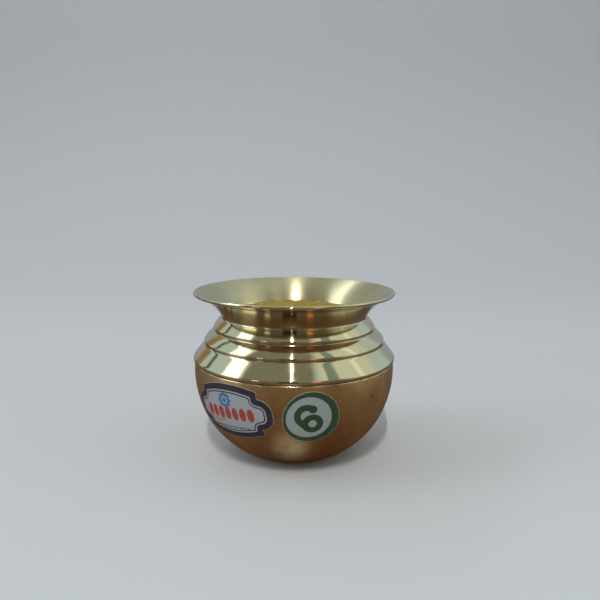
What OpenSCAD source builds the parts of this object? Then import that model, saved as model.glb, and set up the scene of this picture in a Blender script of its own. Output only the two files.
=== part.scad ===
// Small brass kalash water pot, spun from sheet in two shells and brazed at the belly.
// Millimetres, +Z up. The pot stands on Z = 0 with its axis on Z, and its labels face -Y.

/* [Overall] */
// Diameter over the rim of the flared mouth
rim_d = 100; // [92:1:130]
// Height from the table to the rim
pot_h = 82; // [74:1:110]
// Largest diameter of the bowl
belly_d = 100; // [96:1:130]

/* [Mouth] */
// Outside diameter at the neck, under the flare
neck_d = 72.8; // [60:0.2:76]
// Height of the flared mouth, rim to neck
mouth_h = 12.4; // [8:0.2:18]
// How far the flare dips below a straight cone
flare_dip = 2; // [0.5:0.1:3]
// Thickness of the rim's outer edge
rim_edge = 1.4; // [1:0.1:2.4]

/* [Ribs] */
// Diameter over the lip of the upper rib
upper_rib_d = 81.2; // [78:0.2:86]
// Height of the upper rib, neck to groove
upper_rib_h = 6.3; // [4:0.1:10]
// How far the upper rib's face swells out
upper_rib_swell = 0.2; // [0.1:0.05:1.2]
// Diameter over the lip of the lower rib
lower_rib_d = 90.7; // [88:0.1:94]
// Height of the lower rib, groove to groove
lower_rib_h = 6.4; // [4:0.1:10]
// How far the lower rib's face swells out
lower_rib_swell = 0.4; // [0.1:0.05:1.6]
// Depth of the groove under each rib's lip
groove_depth = 0.8; // [0.3:0.1:1.2]
// Height of the slope from a lip into its groove
groove_drop = 0.8; // [0.4:0.1:1.4]

/* [Shoulder] */
// Height of the shoulder, lower groove to seam
shoulder_h = 9; // [7:0.1:14]
// How far the shoulder's face swells out
shoulder_swell = 0.2; // [0.1:0.05:1.6]
// How far the shoulder's edge stands proud of the bowl
shoulder_proud = 0.7; // [0.2:0.1:1.2]
// Height of the turned-in edge below the shoulder's widest line
edge_h = 1.3; // [0.8:0.1:2]

/* [Bowl] */
// Radius of the bowl's upper curve, seen in section
bowl_curve = 50.6; // [40:0.2:60]
// Depth of the widest line below the seam
belly_drop = 4.6; // [2:0.1:8]
// Angle below the widest line where the lower curve starts
curve_change = 25; // [15:1:35]
// Outside diameter of the ring that touches the table
foot_d = 44.6; // [36:0.2:56]
// Width of that ring
foot_w = 2; // [1.2:0.1:4]
// How far the middle of the base is pushed up
base_rise = 1.5; // [0.5:0.1:3]

/* [Sheet and seam] */
// Sheet thickness of the upper shell
upper_wall = 0.9; // [0.7:0.1:1.2]
// Sheet thickness of the bowl
bowl_wall = 0.8; // [0.6:0.1:1.2]
// Depth of the lap, where the shoulder's collar sits inside the bowl
lap_h = 2.8; // [2:0.1:4]
// Gap in the lap that the filler metal fills
braze_gap = 0.1; // [0.06:0.02:0.2]
// Height of the seam line between the two shells
seam_gap = 0.2; // [0.1:0.05:0.4]

/* [Labels] */
// Thickness of the paper labels
label_t = 0.12; // [0.08:0.02:0.3]
// Diameter of the round size label
size_label_d = 25.4; // [16:0.2:28]
// Drop of the round label's middle below the bowl's widest line
size_label_drop = 10.6; // [8:0.1:14]
// Direction of the round label round the pot, from the front
size_label_turn = 9; // [0:1:20]
// Length of the plaque label over its pointed ends
plaque_l = 43.8; // [36:0.2:52]
// Length of the plaque label's long edges
plaque_edge_l = 32.6; // [26:0.2:34]
// Height of the plaque label at its middle
plaque_h = 26.8; // [18:0.2:28]
// How far the plaque label's long edges are arched
plaque_arch = 2.8; // [0.5:0.1:4]
// Height of the step in each corner of the plaque label
plaque_step = 3.1; // [2:0.1:4]
// Drop of the plaque label's middle below the bowl's widest line
plaque_drop = 10.9; // [8:0.1:14]
// Gap between the two labels
label_gap = 3.6; // [1:0.1:20]
// Slant at which the plaque label was stuck on
plaque_slant = 4.5; // [-10:0.5:10]

/* [Hidden] */
$fn = 96;

// Segments along each kind of curve in the section
flare_steps = 14;
rib_steps = 8;
bowl_steps = 12;
base_steps = 8;

// Directions in which the sheet's thickness is laid off at a groove and at the shoulder's edge
groove_lean = 40;
shoulder_lean = 20;
// The rolled rim starts on its underside at this angle, past a small bevel
rim_start = -60;
rim_bevel = 0.2;
// How far each pointed end of the plaque label swells
end_swell = 2.2;

polished = "#cfc48a";
satin = "#9a7745";
filler = "#b9a15c";
plaque_navy = "#2c2547";
label_green = "#1f4a26";

// Heights down the pot
neck_z = pot_h - mouth_h;
upper_groove_z = neck_z - upper_rib_h;
lower_groove_z = upper_groove_z - lower_rib_h;
seam_z = lower_groove_z - shoulder_h;
belly_z = seam_z - belly_drop;

// Radii of the bowl's section
belly_r = belly_d / 2;
curve_mid = [belly_r - bowl_curve, belly_z];
foot_r = foot_d / 2;

// Unit vector at an angle, and points along an arc about a middle
function dir(a) = [cos(a), sin(a)];
function arc(mid, r, a0, a1, steps) =
    [for (i = [0:steps]) mid + r * dir(a0 + (a1 - a0) * i / steps)];
function backwards(pts) = [for (i = [len(pts) - 1:-1:0]) pts[i]];

// Arc between two points whose middle stands off the chord by a swell, to the left of travel
function swell_arc(p, q, swell, steps) =
    let (chord = norm(q - p),
         along = (q - p) / chord,
         left = [-along[1], along[0]],
         half = 2 * atan(2 * swell / chord),
         r = chord / 2 / sin(half),
         mid = (p + q) / 2 - left * r * cos(half),
         start = atan2(left[1], left[0]))
    arc(mid, r, start + half, start - half, steps);

// The lower curve leaves the upper one smoothly and ends on the foot
change_pt = curve_mid + bowl_curve * dir(-curve_change);
to_foot = change_pt - [foot_r, 0];
lower_curve = to_foot * to_foot / (2 * (dir(-curve_change) * to_foot));
lower_mid = change_pt - lower_curve * dir(-curve_change);
foot_angle = asin(-lower_mid[1] / lower_curve);

// The bowl's side from the seam to the foot, standing off the outer face by an amount
seam_angle = asin((seam_z - seam_gap - belly_z) / bowl_curve);
function bowl_side(off, top_angle = seam_angle) = concat(
    arc(curve_mid, bowl_curve + off, top_angle, -curve_change, bowl_steps),
    arc(lower_mid, lower_curve + off, -curve_change, foot_angle, bowl_steps));

// Radii where the shells lap: the shoulder's edge, the seam line, the bowl's bore and the collar in it
shoulder_r = belly_r + shoulder_proud;
seam_r = bowl_side(0)[0][0];
bore_r = seam_r - bowl_wall;
collar_r = bore_r - braze_gap;
lap_z = seam_z - lap_h;

// The outside of the upper shell, from the seam up to the rim
neck_pt = [neck_d / 2, neck_z];
upper_lip = [upper_rib_d / 2, upper_groove_z + groove_drop];
upper_groove = upper_lip - [groove_depth, groove_drop];
lower_lip = [lower_rib_d / 2, lower_groove_z + groove_drop];
lower_groove = lower_lip - [groove_depth, groove_drop];
shoulder_lip = [shoulder_r, seam_z + edge_h];
rim_mid = [rim_d / 2 - rim_edge / 2, pot_h - rim_edge / 2];
flare_edge = rim_mid - [0, rim_edge / 2 + rim_bevel];

function upper_outside() = concat(
    [[collar_r - upper_wall, lap_z],
     [collar_r, lap_z],
     [collar_r, seam_z],
     [seam_r, seam_z]],
    backwards(swell_arc(lower_groove, shoulder_lip, shoulder_swell, rib_steps)),
    backwards(swell_arc(upper_groove, lower_lip, lower_rib_swell, rib_steps)),
    backwards(swell_arc(neck_pt, upper_lip, upper_rib_swell, rib_steps)),
    backwards(swell_arc(flare_edge, neck_pt, -flare_dip, flare_steps)),
    arc(rim_mid, rim_edge / 2, rim_start, 90, rib_steps));

// Its inside, from the rim down to the collar; the spun ribs show inside as shallow waves
function inside_of(pt) = pt - upper_wall * dir(groove_lean);
shoulder_inside = shoulder_lip - upper_wall * dir(shoulder_lean);
function upper_inside() = concat(
    swell_arc([rim_d / 2 - rim_edge, pot_h], neck_pt - [upper_wall, 0], -flare_dip, flare_steps),
    swell_arc(neck_pt - [upper_wall, 0], inside_of(upper_groove),
              upper_rib_swell + groove_depth / 2, rib_steps),
    swell_arc(inside_of(upper_groove), inside_of(lower_groove),
              lower_rib_swell + groove_depth / 2, rib_steps),
    swell_arc(inside_of(lower_groove), shoulder_inside, shoulder_swell, rib_steps),
    [[collar_r - upper_wall, seam_z]]);

// Upper shell: flared mouth, neck, two ribs, polished shoulder and collar, one spun piece
module upper_shell() {
    color(polished)
        rotate_extrude() polygon(concat(upper_outside(), upper_inside()));
}

// The bowl's section: side, foot ring, pushed-up base, and the straight bore at its top
dome_swell = base_rise / 6;
function base_dome(h, r) = swell_arc([r, h], [0, h + base_rise], -dome_swell, base_steps);
function bowl_outside() = concat(
    bowl_side(0),
    base_dome(0, foot_r - foot_w));
bore_foot_angle = asin((lap_z - belly_z) / bowl_curve);
function bowl_inside() = concat(
    backwards(base_dome(bowl_wall, foot_r - foot_w)),
    backwards(bowl_side(-bowl_wall, bore_foot_angle)),
    [[bore_r, lap_z],
     [bore_r, seam_z - seam_gap]]);

// Lower bowl: the satin-finished body down to the foot
module lower_bowl() {
    color(satin)
        rotate_extrude() polygon(concat(bowl_outside(), bowl_inside()));
}

// Filler metal: a thin sleeve in the lap and the line that shows at the seam
module seam_braze() {
    color(filler)
        rotate_extrude() polygon([
            [collar_r, lap_z],
            [bore_r, lap_z],
            [bore_r, seam_z - seam_gap],
            [seam_r, seam_z - seam_gap],
            [seam_r, seam_z],
            [collar_r, seam_z]]);
}

// A paper label laid on the bowl's face: the child is its flat outline, seen square on
module on_bowl(drop, turn, slant = 0) {
    droop = asin(drop / bowl_curve);
    intersection() {
        rotate_extrude() polygon(concat(bowl_side(label_t), backwards(bowl_side(0))));
        rotate([0, 0, turn])
            translate([0, -curve_mid[0], belly_z])
                rotate([90 + droop, 0, 0])
                    linear_extrude(belly_d) rotate(slant) children();
    }
}

// The plaque sits to the left of the round label, a gap away round the bowl
function bowl_r_at(drop) = curve_mid[0] + sqrt(bowl_curve * bowl_curve - drop * drop);
size_label_half = asin(size_label_d / 2 / bowl_r_at(size_label_drop));
plaque_half = asin(plaque_l / 2 / bowl_r_at(plaque_drop));
gap_turn = label_gap / bowl_r_at(plaque_drop) * 180 / PI;
plaque_turn = size_label_turn - size_label_half - gap_turn - plaque_half;

// Plaque outline: arched long edges, a step in each corner, swelling ends
function plaque_end(side) =
    let (x = side * plaque_edge_l / 2,
         corner_y = side * (plaque_h / 2 - plaque_arch),
         ledge_y = corner_y - side * plaque_step,
         tip = [side * plaque_l / 2, 0])
    concat(
        swell_arc([-x, corner_y], [x, corner_y], plaque_arch, rib_steps),
        swell_arc([x, ledge_y], tip, end_swell, rib_steps),
        swell_arc(tip, [x, -ledge_y], end_swell, rib_steps));

// Plaque label: the maker's printed paper label
module plaque_label() {
    color(plaque_navy)
        on_bowl(plaque_drop, plaque_turn, plaque_slant)
            polygon(concat(plaque_end(1), plaque_end(-1)));
}

// Size label: a small round sticker with the pot's size number
module size_label() {
    color(label_green)
        on_bowl(size_label_drop, size_label_turn) circle(d = size_label_d);
}

upper_shell();
lower_bowl();
seam_braze();
plaque_label();
size_label();
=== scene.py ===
import math

import bmesh
import bpy
from mathutils import Euler, Matrix, Vector


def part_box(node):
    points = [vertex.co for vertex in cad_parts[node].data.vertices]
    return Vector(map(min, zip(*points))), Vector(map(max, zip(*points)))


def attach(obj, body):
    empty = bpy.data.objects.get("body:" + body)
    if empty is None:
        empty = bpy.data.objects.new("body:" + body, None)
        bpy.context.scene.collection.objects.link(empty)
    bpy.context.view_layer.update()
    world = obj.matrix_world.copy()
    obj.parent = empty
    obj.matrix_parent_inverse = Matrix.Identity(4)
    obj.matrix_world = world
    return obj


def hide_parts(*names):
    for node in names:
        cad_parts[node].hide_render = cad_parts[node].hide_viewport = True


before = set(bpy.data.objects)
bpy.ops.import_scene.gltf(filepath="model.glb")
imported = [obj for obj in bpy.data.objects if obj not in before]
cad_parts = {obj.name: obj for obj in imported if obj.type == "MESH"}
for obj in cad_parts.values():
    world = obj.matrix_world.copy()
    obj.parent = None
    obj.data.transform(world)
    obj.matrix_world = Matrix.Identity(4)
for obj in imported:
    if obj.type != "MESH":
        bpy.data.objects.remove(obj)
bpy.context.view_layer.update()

# ------------------------------------------------------------------ lower bowl
# The round body down to the foot ring: sheet brass spun over a former, left raw inside and
# rubbed to a satin face outside while it turned. Its top edge is bored straight to take the
# shoulder's collar, and its base is pushed up in the middle, so the pot stands on a ring.

mm = 0.001

bowl_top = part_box("lower_bowl")[1].z
belly_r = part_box("lower_bowl")[1].x
lap_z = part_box("seam_braze")[0].z
belly_drop = 4.4 * mm
belly_z = bowl_top - belly_drop
bowl_curve = 50.6 * mm
curve_change = -25
foot_r = 22.3 * mm
foot_w = 2 * mm
base_rise = 1.5 * mm
bowl_wall = 0.8 * mm
bowl_worn = 0.5 * mm
top_gap = 0.1 * mm
# How finely the shells are made, and how far they are from perfectly round
arc_steps = 30
dome_steps = 16
divisions = 256
out_of_round = 0.0018
dent_scale = 32.0
weld = 0.001 * mm
worn_samples = 8
longest_run = 0.9 * mm
least_bend = 2.5


def direction(angle):
    """Unit vector in the section, at an angle in degrees up from straight out."""
    return Vector((math.cos(math.radians(angle)), math.sin(math.radians(angle))))


def arc(mid, radius, start, end, steps):
    """Points round a middle, from one angle to another, in degrees."""
    turn = (end - start) / steps
    return [mid + radius * direction(start + turn * i) for i in range(steps + 1)]


def swell_arc(p, q, swell, steps):
    """Arc between two points that stands off the straight line by a swell, left of travel."""
    along = (q - p).normalized()
    left = Vector((-along.y, along.x))
    half = 2 * math.atan(2 * swell / (q - p).length)
    radius = (q - p).length / 2 / math.sin(half)
    mid = (p + q) / 2 - left * radius * math.cos(half)
    start = math.degrees(math.atan2(left.y, left.x))
    half = math.degrees(half)
    return arc(mid, radius, start + half, start - half, steps)


def softened(points, reach):
    """The same outline worn round: a fine copy in which each point is the mean of those near it."""
    points = [p for p, last in zip(points, [None] + points) if p != last]
    fine = [points[0]]
    for a, b in zip(points, points[1:]):
        count = math.ceil((b - a).length / reach * worn_samples)
        fine += [a.lerp(b, i / count) for i in range(1, count + 1)]
    worn_line = []
    for i in range(len(fine)):
        side = min(worn_samples, i, len(fine) - 1 - i)
        group = fine[i - side:i + side + 1]
        worn_line.append(sum(group, Vector((0, 0))) / len(group))
    kept = [worn_line[0]]
    for here, after in zip(worn_line[1:], worn_line[2:]):
        run = here - kept[-1]
        if run.length > longest_run or math.degrees(run.angle(after - here, 0)) > least_bend:
            kept.append(here)
    return kept + [worn_line[-1]]


def add(tree, kind, feeds=(), **options):
    """Adds a node, sets its options, and feeds its inputs with values or other sockets."""
    made = tree.nodes.new(kind)
    for name, value in options.items():
        setattr(made, name, value)
    for socket, value in dict(feeds).items():
        if isinstance(value, bpy.types.NodeSocket):
            tree.links.new(value, made.inputs[socket])
        else:
            made.inputs[socket].default_value = value
    return made


def calc(tree, operation, *values, clamp=False):
    """One sum on numbers, as a Math node."""
    made = add(tree, "ShaderNodeMath", enumerate(values), operation=operation, use_clamp=clamp)
    return made.outputs[0]


def vector(tree, operation, *values):
    """One sum on vectors, as a Vector Math node."""
    made = add(tree, "ShaderNodeVectorMath", enumerate(values), operation=operation)
    number = operation in ("LENGTH", "DISTANCE", "DOT_PRODUCT")
    return made.outputs["Value" if number else "Vector"]


def scaled(tree, value, factor):
    """A vector times a number."""
    feeds = {"Vector": value, "Scale": factor}
    return add(tree, "ShaderNodeVectorMath", feeds, operation="SCALE").outputs[0]


def spinning_tree():
    """Spins a section into a shell. The section's points hold radius in X and height in Z."""
    tree = bpy.data.node_groups.new("spin_a_section", "GeometryNodeTree")
    sockets = (("Section", "Geometry"), ("Divisions", "Int"), ("Out of round", "Float"),
               ("Dent scale", "Float"), ("Weld", "Float"), ("Material", "Material"))
    for name, kind in sockets:
        tree.interface.new_socket(name, in_out="INPUT", socket_type="NodeSocket" + kind)
    tree.interface.new_socket("Shell", in_out="OUTPUT", socket_type="NodeSocketGeometry")
    given = add(tree, "NodeGroupInput").outputs

    rows = add(tree, "GeometryNodeAttributeDomainSize", {0: given["Section"]}).outputs[0]
    columns = calc(tree, "ADD", given["Divisions"], 1)
    grid = add(tree, "GeometryNodeMeshGrid", {"Vertices X": rows, "Vertices Y": columns})
    index = add(tree, "GeometryNodeInputIndex").outputs[0]
    row = add(tree, "FunctionNodeIntegerMath", {0: index, 1: columns}, operation="DIVIDE_FLOOR")
    column = add(tree, "FunctionNodeIntegerMath", {0: index, 1: columns}, operation="MODULO")

    place = add(tree, "GeometryNodeInputPosition").outputs[0]
    point = add(tree, "GeometryNodeSampleIndex",
                {"Geometry": given["Section"], "Value": place, "Index": row.outputs[0]},
                data_type="FLOAT_VECTOR")
    side = add(tree, "GeometryNodeInputNamedAttribute", {"Name": "inside"}, data_type="FLOAT")
    inside = add(tree, "GeometryNodeSampleIndex",
                 {"Geometry": given["Section"], "Value": side.outputs[0], "Index": row.outputs[0]},
                 data_type="FLOAT")

    turn = calc(tree, "DIVIDE", calc(tree, "MULTIPLY", column.outputs[0], 2 * math.pi),
                given["Divisions"])
    turned = add(tree, "ShaderNodeVectorRotate", {"Vector": point.outputs[0], "Angle": turn},
                 rotation_type="Z_AXIS").outputs[0]
    dents = add(tree, "ShaderNodeTexNoise",
                {"Vector": turned, "Scale": given["Dent scale"], "Detail": 1.0}).outputs[0]
    width = calc(tree, "MULTIPLY", calc(tree, "SUBTRACT", dents, 0.5), given["Out of round"])
    width = calc(tree, "ADD", width, 1)
    widths = add(tree, "ShaderNodeCombineXYZ", {"X": width, "Y": width, "Z": 1.0}).outputs[0]
    shell = add(tree, "GeometryNodeSetPosition",
                {"Geometry": grid.outputs[0], "Position": vector(tree, "MULTIPLY", turned, widths)})
    shell = add(tree, "GeometryNodeStoreNamedAttribute",
                {"Geometry": shell.outputs[0], "Name": "inside", "Value": inside.outputs[0]},
                data_type="FLOAT", domain="POINT")
    shell = add(tree, "GeometryNodeMergeByDistance",
                {"Geometry": shell.outputs[0], "Distance": given["Weld"]})
    shell = add(tree, "GeometryNodeSetShadeSmooth", {"Geometry": shell.outputs[0]})
    shell = add(tree, "GeometryNodeRealizeInstances", {"Geometry": shell.outputs[0]})
    shell = add(tree, "GeometryNodeSetMaterial",
                {"Geometry": shell.outputs[0], "Material": given["Material"]})
    add(tree, "NodeGroupOutput", {0: shell.outputs[0]})
    return tree


spinning = spinning_tree()


def spun(name, outside, inside, material):
    """A spun shell whose section runs along its outside and back along its inside."""
    points = [(p.x, 0, p.y) for p in outside + inside]
    mesh = bpy.data.meshes.new(name)
    mesh.from_pydata(points, [(i, i + 1) for i in range(len(points) - 1)], [])
    sides = mesh.attributes.new("inside", "FLOAT", "POINT")
    sides.data.foreach_set("value", [0.0] * len(outside) + [1.0] * len(inside))
    shell = bpy.data.objects.new(name, mesh)
    bpy.context.scene.collection.objects.link(shell)

    spin = shell.modifiers.new("spin", "NODES")
    spin.node_group = spinning
    sockets = {item.name: item.identifier for item in spinning.interface.items_tree}
    spin[sockets["Divisions"]] = divisions
    spin[sockets["Out of round"]] = out_of_round
    spin[sockets["Dent scale"]] = dent_scale
    spin[sockets["Weld"]] = weld
    spin[sockets["Material"]] = material
    graph = bpy.context.evaluated_depsgraph_get()
    plain = bpy.data.meshes.new_from_object(
        shell.evaluated_get(graph), preserve_all_data_layers=True, depsgraph=graph)
    shell.modifiers.remove(spin)
    shell.data = plain
    # Set Material puts an empty slot before its own
    plain.materials.pop(index=0)

    faces = bmesh.new()
    faces.from_mesh(plain)
    bmesh.ops.recalc_face_normals(faces, faces=faces.faces)
    faces.to_mesh(plain)
    faces.free()
    return shell


def turned_place(tree):
    """Where a point is on the lathe: its radius, its height and its place round the pot."""
    place = add(tree, "ShaderNodeTexCoord").outputs["Object"]
    flat = vector(tree, "MULTIPLY", place, (1, 1, 0))
    height = add(tree, "ShaderNodeSeparateXYZ", {0: place}).outputs["Z"]
    return vector(tree, "LENGTH", flat), height, vector(tree, "NORMALIZE", flat)


def turning_marks(tree, pitch, drift, detail):
    """Noise in rings round the pot, fine across the turning marks and slow along them."""
    radius, height, around = turned_place(tree)
    up = add(tree, "ShaderNodeCombineXYZ", {"Z": calc(tree, "DIVIDE", height, pitch)}).outputs[0]
    feeds = {"Vector": vector(tree, "ADD", scaled(tree, around, drift), up),
             "W": calc(tree, "DIVIDE", radius, pitch), "Scale": 1.0, "Detail": detail}
    return add(tree, "ShaderNodeTexNoise", feeds, noise_dimensions="4D").outputs[0]


def patches(tree, size, detail, shift=0.0):
    """Soft patches of a size. A shift gives another set of them."""
    place = add(tree, "ShaderNodeTexCoord").outputs["Object"]
    feeds = {"Vector": place, "W": shift, "Scale": 1 / size, "Detail": detail}
    return add(tree, "ShaderNodeTexNoise", feeds, noise_dimensions="4D").outputs[0]


def stretch(tree, value, low, high, to_low=0.0, to_high=1.0):
    """A smooth step: values from low to high become to_low to to_high."""
    feeds = {"Value": value, "From Min": low, "From Max": high, "To Min": to_low, "To Max": to_high}
    return add(tree, "ShaderNodeMapRange", feeds, interpolation_type="SMOOTHSTEP").outputs[0]


def mixed(tree, factor, one, other):
    """Two colours mixed."""
    feeds = {0: factor, 6: one, 7: other}
    return add(tree, "ShaderNodeMix", feeds, data_type="RGBA").outputs[2]


def times(tree, one, other):
    """Two numbers multiplied."""
    return calc(tree, "MULTIPLY", one, other)


def total(tree, first, *others):
    """Numbers added up."""
    for other in others:
        first = calc(tree, "ADD", first, other)
    return first


def bumped(tree, height):
    """The normal of a relief whose height is in metres."""
    return add(tree, "ShaderNodeBump", {"Height": height, "Distance": 1.0, "Strength": 1.0}).outputs[0]


def rubbed_round(tree):
    """The direction round the pot, along which it was turned and rubbed."""
    return add(tree, "ShaderNodeTangent", direction_type="RADIAL", axis="Z").outputs[0]


def new_finish(name):
    """A material with an empty tree, and its shader already joined to the output."""
    finish = bpy.data.materials.new(name)
    finish.use_nodes = True
    tree = finish.node_tree
    tree.nodes.clear()
    shader = add(tree, "ShaderNodeBsdfPrincipled")
    add(tree, "ShaderNodeOutputMaterial", {"Surface": shader.outputs[0]})
    return finish, tree, shader


def feed(tree, shader, **values):
    """Feeds a shader's inputs, whose names are written with underscores for spaces."""
    for name, value in values.items():
        socket = shader.inputs[name.replace("_", " ")]
        if isinstance(value, bpy.types.NodeSocket):
            tree.links.new(value, socket)
        else:
            socket.default_value = value


# Colours, and the sizes of what the finishes show: marks, clouds, spots and the ragged fringe
satin_tone = (0.78, 0.53, 0.27, 1)
satin_dull = (0.57, 0.345, 0.155, 1)
raw_tone = (1.0, 0.91, 0.51, 1)
raw_dull = (0.95, 0.81, 0.40, 1)
spot_tone = (0.06, 0.035, 0.02, 1)
fringe_tone = (0.88, 0.80, 0.50, 1)
raw_pitch = 0.5 * mm
raw_cloud = 9 * mm
raw_relief = 0.006 * mm
satin_pitch = 0.9 * mm
satin_cloud = 16 * mm
satin_relief = 0.006 * mm
scratch_pitch = 0.22 * mm
scratch_relief = 0.0015 * mm
spot_size = 1.7 * mm
spot_spread = 12 * mm
fringe_lobe = 4 * mm
fringe_depth = 5 * mm
fringe_z = bowl_top + 1.7 * mm
fringe_edge = 0.25 * mm


def raw_finish():
    """The inside as the spinning tool left it: golden, matt and finely grooved."""
    finish, tree, shader = new_finish("raw_brass")
    marks = turning_marks(tree, raw_pitch, 3.0, 3.0)
    clouds = patches(tree, raw_cloud, 4.0)
    tone = mixed(tree, stretch(tree, clouds, 0.35, 0.7, 0.0, 0.6), raw_tone, raw_dull)
    rough = stretch(tree, marks, 0.3, 0.7, 0.48, 0.60)
    feed(tree, shader, Base_Color=tone, Metallic=1.0, Roughness=rough,
         Normal=bumped(tree, times(tree, marks, raw_relief)))
    return finish


raw_brass = raw_finish()


def raw_inside(shell, top):
    """Leaves the inside of a shell raw, up to a height."""
    raw_slot = len(shell.data.materials)
    shell.data.materials.append(raw_brass)
    inside = shell.data.attributes["inside"].data
    for face in shell.data.polygons:
        if face.center.z < top and inside[face.vertices[0]].value > 0.5:
            face.material_index = raw_slot


def satin_finish():
    """Satin brass: rubbed round and round, a little tarnished, with a few dark spots."""
    finish, tree, shader = new_finish("satin_brass")
    marks = turning_marks(tree, satin_pitch, 5.0, 2.0)
    scratches = turning_marks(tree, scratch_pitch, 9.0, 1.0)
    clouds = patches(tree, satin_cloud, 4.0)
    spots = patches(tree, spot_size, 1.0, 3.0)
    spotty = patches(tree, spot_spread, 1.0, 8.0)

    tone = mixed(tree, stretch(tree, clouds, 0.38, 0.66), satin_tone, satin_dull)
    tone = mixed(tree, stretch(tree, marks, 0.35, 0.8, 0.0, 0.35), tone, satin_dull)
    spotted = times(tree, stretch(tree, spots, 0.66, 0.74), stretch(tree, spotty, 0.50, 0.60))
    tone = mixed(tree, spotted, tone, spot_tone)

    height = turned_place(tree)[1]
    ragged = times(tree, patches(tree, fringe_lobe, 4.0, 5.0), fringe_depth)
    over = calc(tree, "SUBTRACT", total(tree, height, ragged), fringe_z)
    fringe = stretch(tree, over, 0.0, fringe_edge)
    tone = mixed(tree, fringe, tone, fringe_tone)

    rough = total(tree, stretch(tree, clouds, 0.3, 0.75, 0.36, 0.47), times(tree, fringe, -0.2),
                  times(tree, spotted, 0.3))
    relief = total(tree, times(tree, marks, satin_relief), times(tree, scratches, scratch_relief))
    feed(tree, shader, Base_Color=tone, Metallic=1.0, Roughness=rough, Anisotropic=0.55,
         Anisotropic_Rotation=0.25, Normal=bumped(tree, relief), Tangent=rubbed_round(tree))
    return finish


# The lower curve leaves the upper one smoothly and ends on the foot
curve_mid = Vector((belly_r - bowl_curve, belly_z))
change_point = curve_mid + bowl_curve * direction(curve_change)
to_foot = change_point - Vector((foot_r, 0))
lower_curve = to_foot.length_squared / (2 * to_foot.dot(direction(curve_change)))
lower_mid = change_point - lower_curve * direction(curve_change)
foot_angle = math.degrees(math.asin(-lower_mid.y / lower_curve))


def bowl_side(off, top_z):
    """The bowl's side from a height down to the foot, standing off its outer face."""
    top_angle = math.degrees(math.asin((top_z - belly_z) / (bowl_curve + off)))
    upper = arc(curve_mid, bowl_curve + off, top_angle, curve_change, arc_steps)
    lower = arc(lower_mid, lower_curve + off, curve_change, foot_angle, arc_steps)
    return upper + lower[1:]


def base_dome(height, radius):
    """The pushed-up base from its edge to the axis."""
    middle = Vector((0, height + base_rise))
    return swell_arc(Vector((radius, height)), middle, -base_rise / 6, dome_steps)


outer_side = bowl_side(0, bowl_top)
bore_r = outer_side[0].x - bowl_wall
bowl_outside = [Vector((bore_r, bowl_top))] + outer_side + base_dome(0, foot_r - foot_w)
bowl_inside = base_dome(bowl_wall, foot_r - foot_w)[::-1] + bowl_side(-bowl_wall, lap_z)[::-1]
bowl_inside += [Vector((bore_r, lap_z)), Vector((bore_r, bowl_top - top_gap))]
# The section starts and ends on the axis, so that the shell is closed at both poles
bowl = spun("lower_bowl_spun", softened(bowl_outside, bowl_worn)[::-1],
            softened(bowl_inside, bowl_worn)[::-1], satin_finish())
raw_inside(bowl, bowl_top)
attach(bowl, "root")
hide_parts("lower_bowl")

# ------------------------------------------------------------------ seam braze
# The filler metal that joins the two shells: a thin sleeve drawn into the lap, which shows as
# a fine dull line under the shoulder's edge.

seam_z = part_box("seam_braze")[1].z
seam_r = outer_side[0].x
braze_gap = 0.1 * mm
collar_r = bore_r - braze_gap
braze_worn = 0.03 * mm
braze_blob = 1.1 * mm
braze_relief = 0.05 * mm
soot_size = 6 * mm
braze_tone = (0.50, 0.36, 0.17, 1)
soot_tone = (0.05, 0.035, 0.02, 1)


def braze_finish():
    """Dull filler metal, sooty in places."""
    finish, tree, shader = new_finish("braze_filler")
    blobs = patches(tree, braze_blob, 2.0)
    soot = patches(tree, soot_size, 2.0, 4.0)
    tone = mixed(tree, stretch(tree, soot, 0.4, 0.6), braze_tone, soot_tone)
    rough = stretch(tree, blobs, 0.3, 0.7, 0.45, 0.65)
    feed(tree, shader, Base_Color=tone, Metallic=1.0, Roughness=rough,
         Normal=bumped(tree, times(tree, blobs, braze_relief)))
    return finish


braze_section = [Vector(p) for p in (
    (collar_r, lap_z), (bore_r, lap_z), (bore_r, bowl_top), (seam_r, bowl_top),
    (seam_r, seam_z), (collar_r, seam_z), (collar_r, lap_z))]
braze = spun("seam_braze_line", softened(braze_section, braze_worn), [], braze_finish())
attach(braze, "root")
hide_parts("seam_braze")

# ----------------------------------------------------------------- upper shell
# Mouth, neck, ribs and shoulder in one piece: sheet brass spun over a split former, then cut
# bright and polished on the lathe. A collar under the shoulder slips into the bowl's bore.

rim_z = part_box("upper_shell")[1].z
shoulder_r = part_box("upper_shell")[1].x
rim_r = 50 * mm
rim_edge = 1.4 * mm
rim_bevel = 0.2 * mm
mouth_h = 12.4 * mm
neck_r = 36.4 * mm
flare_dip = 2 * mm
upper_rib_h = 6.3 * mm
upper_rib_r = 40.6 * mm
upper_rib_swell = 0.2 * mm
lower_rib_h = 6.4 * mm
lower_rib_r = 45.35 * mm
lower_rib_swell = 0.4 * mm
groove = Vector((0.8 * mm, 0.8 * mm))
shoulder_swell = 0.2 * mm
edge_h = 1.3 * mm
upper_wall = 0.9 * mm
groove_lean = 40
shoulder_lean = 20
shell_worn = 1.1 * mm
mouth_steps = 36
rib_steps = 12
inner_steps = 16
shoulder_steps = 20

neck = Vector((neck_r, rim_z - mouth_h))
upper_groove_z = neck.y - upper_rib_h
lower_groove_z = upper_groove_z - lower_rib_h
upper_lip = Vector((upper_rib_r, upper_groove_z + groove.y))
lower_lip = Vector((lower_rib_r, lower_groove_z + groove.y))
shoulder_lip = Vector((shoulder_r, seam_z + edge_h))
rim_mid = Vector((rim_r, rim_z)) - Vector((rim_edge, rim_edge)) / 2
flare_edge = rim_mid - Vector((0, rim_edge / 2 + rim_bevel))

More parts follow.
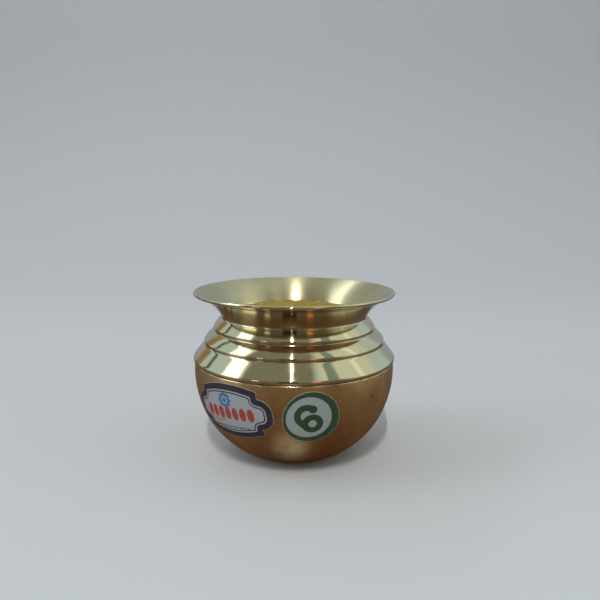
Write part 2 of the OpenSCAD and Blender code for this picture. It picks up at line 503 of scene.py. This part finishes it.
collar = [Vector((collar_r - upper_wall, lap_z)), Vector((collar_r, lap_z)),
          Vector((collar_r, seam_z))]
turned_faces = (
    [Vector((seam_r, seam_z))]
    + swell_arc(lower_lip - groove, shoulder_lip, shoulder_swell, rib_steps)[::-1]
    + swell_arc(upper_lip - groove, lower_lip, lower_rib_swell, rib_steps)[::-1]
    + swell_arc(neck, upper_lip, upper_rib_swell, rib_steps)[::-1]
    + swell_arc(flare_edge, neck, -flare_dip, mouth_steps)[::-1])
rolled_rim = arc(rim_mid, rim_edge / 2, -60, 90, rib_steps)
shell_outside = collar + softened(turned_faces, shell_worn) + rolled_rim


def inside_of(point, lean):
    """A point of the outside moved in by the sheet's thickness."""
    return point - upper_wall * direction(lean)


inner_neck = neck - Vector((upper_wall, 0))
upper_ledge = inside_of(upper_lip - groove, groove_lean)
lower_ledge = inside_of(lower_lip - groove, groove_lean)
under_lip = inside_of(shoulder_lip, shoulder_lean)
shell_inside = (
    swell_arc(Vector((rim_r - rim_edge, rim_z)), inner_neck, -flare_dip, mouth_steps)
    + swell_arc(inner_neck, upper_ledge, upper_rib_swell + groove.x / 2, inner_steps)[1:]
    + swell_arc(upper_ledge, lower_ledge, lower_rib_swell + groove.x / 2, inner_steps)[1:]
    + swell_arc(lower_ledge, under_lip, shoulder_swell, shoulder_steps)[1:]
    + [Vector((collar_r - upper_wall, seam_z)), Vector((collar_r - upper_wall, lap_z))])

# Colours, the sizes of what the finish shows, and the edges of the mouth, neck and grooves
bright_tone = (0.88, 0.815, 0.515, 1)
bright_warm = (0.84, 0.72, 0.36, 1)
# The next two tones are painted shade under the flare's overhang, one near the neck crease and one
# higher up
under_shade_tone = (0.56, 0.48, 0.32, 1)
crease_shade_tone = (0.64, 0.52, 0.34, 1)
# Dark tone in the grooves and along the seam: partly tarnish in the hollows, partly painted shade
tarnish_and_shade_tone = (0.24, 0.16, 0.07, 1)
mark_pitch = 0.7 * mm
mark_relief = 0.0045 * mm
hair_pitch = 0.25 * mm
hair_relief = 0.001 * mm
dent_size = 3.5 * mm
dent_relief = 0.025 * mm
bright_cloud = 14 * mm
smear_size = 5 * mm
mouth_edge = 1.5 * mm
neck_edge = 0.6 * mm
crease_h = 5 * mm
crevice_reach = 0.5 * mm
under_rim_low = rim_z - 1.6 * mm
under_rim_high = rim_z - 1.1 * mm
raw_top = neck.y + 0.3 * mm


def near(tree, value, middle, reach):
    """1 at a value, falling to 0 a reach away on either side."""
    away = calc(tree, "ABSOLUTE", calc(tree, "SUBTRACT", value, middle))
    return stretch(tree, away, 0.0, reach, 1.0, 0.0)


def bright_finish():
    """Polished brass: mirror-like ribs, a finely turned mouth, a rougher neck and flare underside
    darkened by painted shade, and grooves darkened by tarnish and painted shade.
    """
    finish, tree, shader = new_finish("polished_brass")
    side = add(tree, "ShaderNodeAttribute", attribute_name="inside").outputs["Fac"]
    height = turned_place(tree)[1]
    marks = turning_marks(tree, mark_pitch, 2.5, 3.0)
    hairs = turning_marks(tree, hair_pitch, 6.0, 1.0)
    dents = patches(tree, dent_size, 3.0, 9.0)
    clouds = patches(tree, bright_cloud, 4.0)
    smears = patches(tree, smear_size, 5.0, 5.0)

    in_mouth = times(tree, side, stretch(tree, height, neck.y, neck.y + mouth_edge))
    outside = calc(tree, "SUBTRACT", 1.0, side)
    # Outside, from the neck up to just under the rim: painted shade in the colour and a rougher finish
    under = times(tree, outside, stretch(tree, height, neck.y - neck_edge, neck.y))
    under = times(tree, under, stretch(tree, height, under_rim_low, under_rim_high, 1, 0))
    # The grooves and the seam line: darkened by tarnish and painted shade, and rougher
    crevice = 0.0
    for line_z in (upper_groove_z, lower_groove_z, seam_z):
        crevice = calc(tree, "MAXIMUM", crevice, near(tree, height, line_z, crevice_reach))
    crevice = times(tree, crevice, outside)

    tone = mixed(tree, stretch(tree, clouds, 0.45, 0.75, 0.0, 0.5), bright_tone, bright_warm)
    # Painted shade under the flare: a darker tone near the neck crease and higher up
    painted_under_shade = mixed(tree, stretch(tree, height, neck.y, neck.y + crease_h), crease_shade_tone, under_shade_tone)
    tone = mixed(tree, under, tone, painted_under_shade)
    # Grooves and seam darkened: partly tarnish in the hollows, partly painted shade
    tarnished = times(tree, crevice, stretch(tree, clouds, 0.3, 0.6, 0.4, 0.9))
    tone = mixed(tree, tarnished, tone, tarnish_and_shade_tone)

    rough = total(tree, stretch(tree, smears, 0.35, 0.75, 0.06, 0.11), times(tree, in_mouth, 0.30),
                  times(tree, under, 0.08), times(tree, crevice, 0.2))
    relief = total(tree, times(tree, marks, mark_relief), times(tree, hairs, hair_relief),
                   times(tree, dents, dent_relief))
    relief = times(tree, relief, total(tree, times(tree, side, 0.6), 0.4))
    feed(tree, shader, Base_Color=tone, Metallic=1.0, Roughness=rough, Anisotropic=0.95,
         Anisotropic_Rotation=0.25, Normal=bumped(tree, relief), Tangent=rubbed_round(tree))
    return finish


shell = spun("upper_shell_spun", shell_outside, softened(shell_inside, shell_worn), bright_finish())
raw_inside(shell, raw_top)
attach(shell, "root")
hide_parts("upper_shell")

# ---------------------------------------------------------------- plaque label
# The maker's printed paper label, with stepped corners and pointed ends, gummed on a little
# askew and pressed round the bowl. Its print is an ornament of plain shapes.

paper_t = 0.12 * mm
paper_grip = 1.2
paper_rings = 26
outline_pitch = 0.8 * mm
plaque_drop = 11 * mm
plaque_turn = -37.2
plaque_slant = 4.5
plaque_half = 22.8 * mm
plaque_edge_half = 16.6 * mm
plaque_top = 10.6 * mm
plaque_arch = 2.9 * mm
plaque_step = 3.1 * mm
end_swell = 2.2 * mm
long_steps = 16
end_steps = 10


def bowl_place(drop, turn):
    """A place on the bowl a distance down its side from its widest line, and its slope."""
    change = -math.radians(curve_change) * bowl_curve
    if drop < change:
        mid, radius, angle = curve_mid, bowl_curve, -math.degrees(drop / bowl_curve)
    else:
        mid, radius = lower_mid, lower_curve
        angle = curve_change - math.degrees((drop - change) / lower_curve)
    section = mid + radius * direction(angle)
    out = direction(angle)
    compass = Vector((math.sin(turn), -math.cos(turn)))
    place = Vector((compass.x * section.x, compass.y * section.x, section.y))
    return place, Vector((compass.x * out.x, compass.y * out.x, out.y))


def from_edge(point, outline):
    """How far a flat point is inside an outline."""
    gaps = []
    for a, b in zip(outline, outline[1:] + outline[:1]):
        share = max(0.0, min(1.0, (point - a).dot(b - a) / (b - a).length_squared))
        gaps.append((point - a.lerp(b, share)).length)
    return min(gaps)


def laid_label(name, outline, drop, turn, slant, material):
    """A paper label pressed on the bowl: its outline is flat, and its UV is in millimetres."""
    swing = Matrix.Rotation(math.radians(slant), 2)
    flat = [Vector((0, 0))]
    flat += [p * i / paper_rings for i in range(1, paper_rings + 1) for p in outline]
    mesh = bmesh.new()
    edge = mesh.verts.layers.float.new("edge")
    prints = mesh.loops.layers.uv.new("print")
    verts = []
    for p in flat:
        swung = swing @ p
        down = drop - swung.y
        radius = -bowl_place(down, 0)[0].y
        place, out = bowl_place(down, math.radians(turn) + swung.x / radius)
        verts.append(mesh.verts.new(place + out * paper_t))
        verts[-1][edge] = from_edge(p, outline) / mm
    mesh.verts.index_update()
    count = len(outline)
    for i in range(count):
        mesh.faces.new((verts[0], verts[1 + i], verts[1 + (i + 1) % count]))
        for ring in range(paper_rings - 1):
            a = 1 + ring * count + i
            b = 1 + ring * count + (i + 1) % count
            mesh.faces.new((verts[a], verts[a + count], verts[b + count], verts[b]))
    for face in mesh.faces:
        face.smooth = True
        for loop in face.loops:
            loop[prints].uv = flat[loop.vert.index] / mm
    bmesh.ops.recalc_face_normals(mesh, faces=mesh.faces)
    data = bpy.data.meshes.new(name)
    mesh.to_mesh(data)
    mesh.free()
    label = bpy.data.objects.new(name, data)
    bpy.context.scene.collection.objects.link(label)
    data.materials.append(material)
    if data.polygons[0].normal.dot(data.vertices[0].co) < 0:
        data.flip_normals()
    thick = label.modifiers.new("paper", "SOLIDIFY")
    thick.thickness = paper_t * paper_grip
    thick.offset = -1
    graph = bpy.context.evaluated_depsgraph_get()
    label.data = bpy.data.meshes.new_from_object(
        label.evaluated_get(graph), preserve_all_data_layers=True, depsgraph=graph)
    label.modifiers.remove(thick)
    return label


def close_points(outline, spacing):
    """An outline with points no further apart than a spacing."""
    points = []
    for a, b in zip(outline, outline[1:] + outline[:1]):
        steps = max(1, math.ceil((b - a).length / spacing))
        points += [a.lerp(b, i / steps) for i in range(steps)]
    return points


def plaque_end(side):
    """Half the outline: an arched long edge, then an end with stepped corners and a point."""
    corner = side * plaque_edge_half
    point = Vector((side * plaque_half, 0))
    ledge = Vector((corner, side * (plaque_top - plaque_step)))
    facing = Vector((corner, -side * (plaque_top - plaque_step)))
    far_corner = Vector((-corner, side * plaque_top))
    near_corner = Vector((corner, side * plaque_top))
    return (swell_arc(far_corner, near_corner, plaque_arch, long_steps)
            + swell_arc(ledge, point, end_swell, end_steps)[:-1]
            + swell_arc(point, facing, end_swell, end_steps))


# The print's sizes are in millimetres, in from the edge or from the plaque's middle
border_in = 3.0
outer_line_in = 3.6
inner_line_in = 4.2
star_mid = (-0.8, 5.7)
star_half = 2.9
star_ring = star_half * 0.52
star_eye = star_half * 0.34
star_reach = 1.4
moon_mid = (-7.2, 0.4)
moon_r = 6.4
bite_mid = (-7.0, 1.8)
bite_r = 6.7
petal_mid = (0.0, -0.6)
petal_half = (1.7, 3.2)
petal_pitch = 4.1
petal_count = 7
bead_mid = (-1.2, -7.9)
bead_half = (0.55, 0.68)
bead_pitch = 1.5
bead_count = 15
ink_edge = 0.09

paper_tone = (0.40, 0.42, 0.45, 1)
navy_tone = (0.018, 0.010, 0.034, 1)
line_tone = (0.42, 0.44, 0.48, 1)
black_tone = (0.012, 0.012, 0.016, 1)
blue_tone = (0.030, 0.17, 0.42, 1)
red_tone = (0.42, 0.045, 0.030, 1)
orange_tone = (0.62, 0.26, 0.06, 1)
bare_paper = (0.50, 0.49, 0.46, 1)
fibre_tone = (0.30, 0.30, 0.30, 1)
fibre_size = 0.35 * mm
fibre_relief = 0.002 * mm
cockle_size = 5 * mm
cockle_relief = 0.05 * mm
rub_size = 1.5 * mm


def inked(tree, tone, distance, ink):
    """Ink laid where a distance, in millimetres, is below nothing."""
    return mixed(tree, stretch(tree, distance, -ink_edge, ink_edge, 1, 0), tone, ink)


def past_line(tree, tone, distance, line, after):
    """A tone that gives way to another past a printed line."""
    return mixed(tree, stretch(tree, distance, line - ink_edge, line + ink_edge), tone, after)


def print_place(tree, middle=(0.0, 0.0)):
    """A place on the print, in millimetres from a point of it."""
    place = add(tree, "ShaderNodeUVMap", uv_map="print").outputs[0]
    return vector(tree, "SUBTRACT", place, (*middle, 0))


def print_sides(tree, middle):
    """How far a place on the print is from a point of it, across and up."""
    parts = add(tree, "ShaderNodeSeparateXYZ", {0: print_place(tree, middle)}).outputs
    return parts["X"], parts["Y"]


def lozenge(tree, x, y, half_w, half_h):
    """Distance to a lozenge, roughly in millimetres."""
    across = calc(tree, "DIVIDE", calc(tree, "ABSOLUTE", x), half_w)
    up = calc(tree, "DIVIDE", calc(tree, "ABSOLUTE", y), half_h)
    return times(tree, calc(tree, "SUBTRACT", total(tree, across, up), 1.0), min(half_w, half_h))


def oval(tree, x, y, half_w, half_h):
    """Distance to an oval, roughly in millimetres."""
    across = calc(tree, "POWER", calc(tree, "DIVIDE", calc(tree, "ABSOLUTE", x), half_w), 2.0)
    up = calc(tree, "POWER", calc(tree, "DIVIDE", calc(tree, "ABSOLUTE", y), half_h), 2.0)
    over = calc(tree, "SUBTRACT", calc(tree, "SQRT", total(tree, across, up)), 1.0)
    return times(tree, over, min(half_w, half_h))


def row_of(tree, middle, pitch, count, shape, half_w, half_h):
    """Distance to a row of like shapes, an odd count of them, centred on a middle."""
    x, y = print_sides(tree, middle)
    one = shape(tree, calc(tree, "WRAP", x, pitch / 2, -pitch / 2), y, half_w, half_h)
    past_end = calc(tree, "SUBTRACT", calc(tree, "ABSOLUTE", x), count * pitch / 2)
    return calc(tree, "MAXIMUM", one, past_end)


def printed_paper(tree, shader, tone):
    """Varnished paper: faint cockles, rubbed edges, and the print under a thin gloss."""
    edge = add(tree, "ShaderNodeAttribute", attribute_name="edge").outputs["Fac"]
    fibres = patches(tree, fibre_size, 2.0)
    cockles = patches(tree, cockle_size, 2.0, 2.0)
    rub = calc(tree, "SUBTRACT", edge, times(tree, patches(tree, rub_size, 3.0, 6.0), 0.5))
    tone = mixed(tree, stretch(tree, rub, -0.12, 0.0, 0.8, 0.0), tone, bare_paper)
    tone = mixed(tree, stretch(tree, fibres, 0.3, 0.7, 0.0, 0.16), tone, fibre_tone)
    relief = total(tree, times(tree, cockles, cockle_relief), times(tree, fibres, fibre_relief))
    feed(tree, shader, Base_Color=tone, Normal=bumped(tree, relief), Specular_IOR_Level=0.35,
         Roughness=stretch(tree, fibres, 0.3, 0.7, 0.3, 0.42))


def plaque_finish():
    """Navy border, two fine lines, and a pale field with a rosette, petals and a crescent."""
    finish, tree, shader = new_finish("plaque_paper")
    edge = add(tree, "ShaderNodeAttribute", attribute_name="edge").outputs["Fac"]
    tone = past_line(tree, navy_tone, edge, border_in, line_tone)
    tone = past_line(tree, tone, edge, outer_line_in, black_tone)
    tone = past_line(tree, tone, edge, inner_line_in, paper_tone)

    x, y = print_sides(tree, star_mid)
    for half, ink in ((star_half, blue_tone), (star_ring, line_tone), (star_eye, blue_tone)):
        square = calc(tree, "MAXIMUM", calc(tree, "ABSOLUTE", x), calc(tree, "ABSOLUTE", y))
        square = calc(tree, "SUBTRACT", square, half)
        points = lozenge(tree, x, y, half * star_reach, half * star_reach)
        tone = inked(tree, tone, calc(tree, "MINIMUM", square, points), ink)

    disc = vector(tree, "LENGTH", print_place(tree, moon_mid))
    bite = vector(tree, "LENGTH", print_place(tree, bite_mid))
    moon = calc(tree, "MAXIMUM", calc(tree, "SUBTRACT", disc, moon_r),
                calc(tree, "SUBTRACT", bite_r, bite))
    tone = inked(tree, tone, moon, orange_tone)

    petals = row_of(tree, petal_mid, petal_pitch, petal_count, oval, *petal_half)
    tone = inked(tree, tone, petals, red_tone)
    beads = row_of(tree, bead_mid, bead_pitch, bead_count, lozenge, *bead_half)
    tone = inked(tree, tone, beads, black_tone)
    printed_paper(tree, shader, tone)
    return finish


plaque_outline = close_points(plaque_end(1) + plaque_end(-1), outline_pitch)
plaque = laid_label("plaque_label_paper", plaque_outline, plaque_drop, plaque_turn, plaque_slant,
                    plaque_finish())
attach(plaque, "root")
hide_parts("plaque_label")

# ------------------------------------------------------------------ size label
# A small round sticker that gives the pot's size number: a green ring, thicker on one side
# because it was cut off centre, round a pale field with a plain 6.

size_drop = 10.65 * mm
size_turn = 9.0
size_r = 12.7 * mm
size_sides = 96
# The print's sizes are in millimetres from the sticker's middle
field_r = 10.1
field_mid = (-1.1, 0.2)
stem_mid = Vector((-2.2, 1.4))
stem_r = 4.1
stem_from = 50
ring_mid = Vector((0.5, -2.5))
ring_r = 3.3
stroke_half = 1.45
ball_r = 1.85
green_tone = (0.012, 0.060, 0.012, 1)
field_tone = (0.36, 0.40, 0.39, 1)


def six(tree):
    """Distance to the strokes of a 6 that leans back: a hooked stem, a run and a ring."""
    place = print_place(tree)
    start = stem_mid + stem_r * direction(stem_from)
    end = stem_mid + stem_r * direction(stem_from + 180)
    join = ring_mid + ring_r * direction(stem_from + 180)

    off = vector(tree, "DISTANCE", place, (*stem_mid, 0))
    stem = calc(tree, "ABSOLUTE", calc(tree, "SUBTRACT", off, stem_r))
    ends = calc(tree, "MINIMUM", vector(tree, "DISTANCE", place, (*start, 0)),
                vector(tree, "DISTANCE", place, (*end, 0)))
    facing = vector(tree, "DOT_PRODUCT", vector(tree, "SUBTRACT", place, (*stem_mid, 0)),
                    (*direction(stem_from + 90), 0))
    on_stem = calc(tree, "GREATER_THAN", facing, 0.0)
    stem = add(tree, "ShaderNodeMix", {0: on_stem, 2: ends, 3: stem}).outputs[0]

    run = join - end
    share = vector(tree, "DOT_PRODUCT", vector(tree, "SUBTRACT", place, (*end, 0)), (*run, 0))
    share = calc(tree, "DIVIDE", share, run.length_squared, clamp=True)
    foot = vector(tree, "ADD", scaled(tree, (*run, 0), share), (*end, 0))
    stem = calc(tree, "MINIMUM", stem, vector(tree, "DISTANCE", place, foot))
    round_ring = vector(tree, "DISTANCE", place, (*ring_mid, 0))
    ring = calc(tree, "ABSOLUTE", calc(tree, "SUBTRACT", round_ring, ring_r))
    strokes = calc(tree, "SUBTRACT", calc(tree, "MINIMUM", stem, ring), stroke_half)
    ball = calc(tree, "SUBTRACT", vector(tree, "DISTANCE", place, (*start, 0)), ball_r)
    return calc(tree, "MINIMUM", strokes, ball)


def size_finish():
    """Green ring and numeral on pale varnished paper."""
    finish, tree, shader = new_finish("size_paper")
    off = vector(tree, "LENGTH", print_place(tree, field_mid))
    tone = past_line(tree, field_tone, off, field_r, green_tone)
    tone = inked(tree, tone, six(tree), green_tone)
    printed_paper(tree, shader, tone)
    return finish


size_outline = arc(Vector((0, 0)), size_r, 0, 360 - 360 / size_sides, size_sides - 1)
size_sticker = laid_label("size_label_paper", size_outline, size_drop, size_turn, 0, size_finish())
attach(size_sticker, "root")
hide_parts("size_label")

# ---------------------------------------------------------------------- studio
# A plain pale sweep, a narrow lamp ahead and a tube behind, a brown board that only the brass
# sees, and a room for it to reflect: a window at the left, a dark cabinet and a glow ahead.

sweep_half = 4.0
sweep_front = -3.0
sweep_back = 1.1
sweep_curve = 0.5
sweep_top = 3.0
sweep_tone = (0.80, 0.83, 0.87, 1)
board_half = 0.7
board_back = 0.184
board_z = 0.05 * mm
board_tone = (0.165, 0.088, 0.050, 1)
# The glowing patch on the board: a painted pool of light on the floor in front of the foot
painted_light_mid = (-0.0025, -0.045, 0)
painted_light_half = (0.013, 0.010, 1)
painted_light_tone = (0.62, 0.88, 1.0, 1)
lamp_reach = 1.5
lamp_white = (1.0, 0.99, 0.95)
tube_white = (0.92, 0.98, 1.0)
pot_mid = Vector((0, 0, rim_z * 0.6))


def sheet_of(name, points, faces, material):
    """A stage surface from corner points."""
    mesh = bpy.data.meshes.new(name)
    mesh.from_pydata(points, [], faces)
    mesh.materials.append(material)
    surface = bpy.data.objects.new(name, mesh)
    bpy.context.scene.collection.objects.link(surface)
    return surface


def sweep_finish():
    """Plain matt paint."""
    finish, tree, shader = new_finish("sweep_paint")
    feed(tree, shader, Base_Color=sweep_tone, Roughness=0.9)
    return finish


sweep_bend = Vector((sweep_back - sweep_curve, sweep_curve))
sweep_line = [Vector((sweep_front, 0))] + arc(sweep_bend, sweep_curve, -90, 0, 24)
sweep_line += [Vector((sweep_back, sweep_top))]
sweep_points = [(x, p.x, p.y) for p in sweep_line for x in (-sweep_half, sweep_half)]
sweep_faces = [(i, i + 1, i + 3, i + 2) for i in range(0, len(sweep_points) - 2, 2)]
sweep = sheet_of("sweep", sweep_points, sweep_faces, sweep_finish())
for polygon in sweep.data.polygons:
    polygon.use_smooth = True
sweep.visible_glossy = False
sweep.visible_shadow = False


def board_finish():
    """Brown gloss paint, with a small glowing patch just in front of the foot: a painted pool of light
    that the bowl reflects as a sheen.
    """
    finish, tree, shader = new_finish("board_paint")
    place = add(tree, "ShaderNodeTexCoord").outputs["Object"]
    off = vector(tree, "DIVIDE", vector(tree, "SUBTRACT", place, painted_light_mid), painted_light_half)
    # Emission in a soft oval: a painted pool of light, glowing though it is no lamp
    painted_light_pool = stretch(tree, vector(tree, "LENGTH", off), 0.3, 1.3, 0.40, 0.0)
    feed(tree, shader, Base_Color=board_tone, Roughness=0.3, Emission_Color=painted_light_tone,
         Emission_Strength=painted_light_pool)
    return finish


board_points = [(-board_half, -board_half, board_z), (board_half, -board_half, board_z),
                (board_half, board_back, board_z), (-board_half, board_back, board_z)]
board = sheet_of("brown_board", board_points, [(0, 1, 2, 3)], board_finish())
board.visible_camera = False
board.visible_diffuse = False
board.visible_shadow = False


def softbox(name, azimuth, elevation, width, height, radiance, tone):
    """A flat light aimed at the pot. Azimuth 0 is in front of it and 90 is to its right."""
    az, el = math.radians(azimuth), math.radians(elevation)
    towards = Vector((math.sin(az) * math.cos(el), -math.cos(az) * math.cos(el), math.sin(el)))
    lamp = bpy.data.lights.new(name, "AREA")
    lamp.shape = "RECTANGLE"
    lamp.size = width
    lamp.size_y = height
    lamp.energy = radiance * 4 * width * height
    lamp.color = tone
    box = bpy.data.objects.new(name, lamp)
    bpy.context.scene.collection.objects.link(box)
    box.location = pot_mid + towards * lamp_reach
    box.rotation_euler = (-towards).to_track_quat("-Z", "Y").to_euler()


softbox("lamp_front", -3.5, 52, 0.006, 0.32, 820.0, lamp_white)
softbox("lamp_front_strip", -4, 45, 0.014, 1.7, 2.2, lamp_white)
softbox("tube_back_left", -133, 52, 1.3, 0.05, 4.5, tube_white)

# Colours of the room and the angles they start at, in degrees: 0 is ahead of the pot, 90 right
wall = (0.29, 0.32, 0.37)
umber = (0.24, 0.17, 0.10)
haze = (0.42, 0.52, 0.58)
shade = (0.10, 0.12, 0.12)
dim = (0.185, 0.185, 0.17)
moss = (0.17, 0.24, 0.25)
pale = (0.54, 0.58, 0.56)
glare = (0.80, 0.84, 0.80)
sky = (0.40, 0.50, 0.60)
round_room = (
    (-180, wall), (-154, wall), (-149, umber), (-141, umber), (-137, haze), (-130, haze),
    (-128, shade), (-124, shade), (-122, haze), (-103, haze), (-97, pale), (-71, pale),
    (-66, dim), (19, dim), (30, haze), (36, pale), (42, pale), (44, moss), (57, moss),
    (61, pale), (86, pale), (92, glare), (98, pale), (112, pale), (122, sky), (140, sky),
    (150, wall), (180, wall))
high_wall = (0.42, 0.43, 0.40)
high_glow = (0.54, 0.56, 0.50)
round_ceiling = (
    (-180, high_wall), (-90, high_wall), (-50, dim), (20, dim), (45, high_wall),
    (65, high_glow), (130, high_glow), (180, high_wall))
ceiling_tone = (0.42, 0.45, 0.46, 1)
front_tone = (0.150, 0.145, 0.130, 1)
pane_tone = (1.9, 2.0, 2.1, 1)
fanlight_tone = (1.5, 1.5, 1.4, 1)
cabinet_tone = (0.02, 0.022, 0.02, 1)
glow_tone = (0.85, 0.36, 0.17, 1)
ground_tone = (0.095, 0.058, 0.040, 1)


def panorama(tree, stops, value):
    """Colours that follow one another round the room, each from an angle in degrees."""
    feeds = {"Value": value, "From Min": -180.0, "From Max": 180.0}
    share = add(tree, "ShaderNodeMapRange", feeds).outputs[0]
    ramp = add(tree, "ShaderNodeValToRGB", {0: share})
    band = ramp.color_ramp
    band.elements.remove(band.elements[1])
    for number, (angle, tone) in enumerate(stops):
        place = (angle + 180) / 360
        stop = band.elements[0] if number == 0 else band.elements.new(place)
        stop.position = place
        stop.color = (*tone, 1)
    return ramp.outputs[0]


def between(tree, value, low, high, soft):
    """1 from a low to a high angle, with soft ends."""
    return times(tree, stretch(tree, value, low - soft, low + soft),
                 stretch(tree, value, high - soft, high + soft, 1, 0))


world = bpy.data.worlds.new("room")
bpy.context.scene.world = world
world.use_nodes = True
room = world.node_tree
room.nodes.clear()
toward = add(room, "ShaderNodeTexCoord").outputs["Generated"]
parts = add(room, "ShaderNodeSeparateXYZ", {0: toward}).outputs
rise = calc(room, "DEGREES", calc(room, "ARCSINE", parts["Z"]))
azimuth = calc(room, "ARCTAN2", parts["X"], times(room, parts["Y"], -1))
azimuth = calc(room, "DEGREES", azimuth)
# The walls' uprights lean outwards as they rise above 20 degrees
outward = calc(room, "SUBTRACT", calc(room, "MAXIMUM", rise, 20), 40)
outward = times(room, calc(room, "SIGN", azimuth), times(room, outward, 0.5))
leant = calc(room, "SUBTRACT", azimuth, outward)

air = panorama(room, round_room, leant)
low_front = times(room, between(room, azimuth, -62, 60, 12), stretch(room, rise, 18, 44, 1, 0))
air = mixed(room, low_front, air, front_tone)
window = times(room, between(room, leant, -97, -73, 2), between(room, rise, 10, 54, 3))
air = mixed(room, window, air, pane_tone)
fanlight = times(room, between(room, azimuth, -46, -38, 1), between(room, rise, 4, 14, 2))
air = mixed(room, fanlight, air, fanlight_tone)
overhead = panorama(room, round_ceiling, azimuth)
air = mixed(room, stretch(room, rise, 60, 72), air, overhead)
air = mixed(room, stretch(room, rise, 78, 88), air, ceiling_tone)
cabinet = times(room, between(room, azimuth, -18, 4, 1), between(room, rise, -8, 28, 2))
air = mixed(room, cabinet, air, cabinet_tone)
glow = times(room, between(room, azimuth, 20, 29, 1.5), between(room, rise, 0, 24, 4))
air = mixed(room, glow, air, glow_tone)
ahead = stretch(room, calc(room, "ABSOLUTE", azimuth), 140, 160, 1, 0)
ground = times(room, stretch(room, rise, -6, 2, 1, 0), ahead)
air = mixed(room, ground, air, ground_tone)
back = add(room, "ShaderNodeBackground", {"Color": air, "Strength": 1.0})
add(room, "ShaderNodeOutputWorld", {"Surface": back.outputs[0]})

bpy.context.scene.view_settings.view_transform = "Standard"

# The camera stands in front of the pot, a little above its rim, and looks slightly down
camera_place = (0, -0.27775, 0.1234)
camera_down = 9.57
camera_aside = -0.593
camera_roll = 0.25
camera_data = bpy.data.cameras.new("camera")
camera_data.lens = 33.6
camera_data.sensor_width = 36
camera_data.clip_start = 0.01
camera = bpy.data.objects.new("camera", camera_data)
bpy.context.scene.collection.objects.link(camera)
camera_aim = Euler((math.radians(90 - camera_down), 0, math.radians(camera_aside)))
camera.matrix_world = (Matrix.Translation(camera_place) @ camera_aim.to_matrix().to_4x4()
                       @ Matrix.Rotation(math.radians(camera_roll), 4, "Z"))
bpy.context.scene.camera = camera
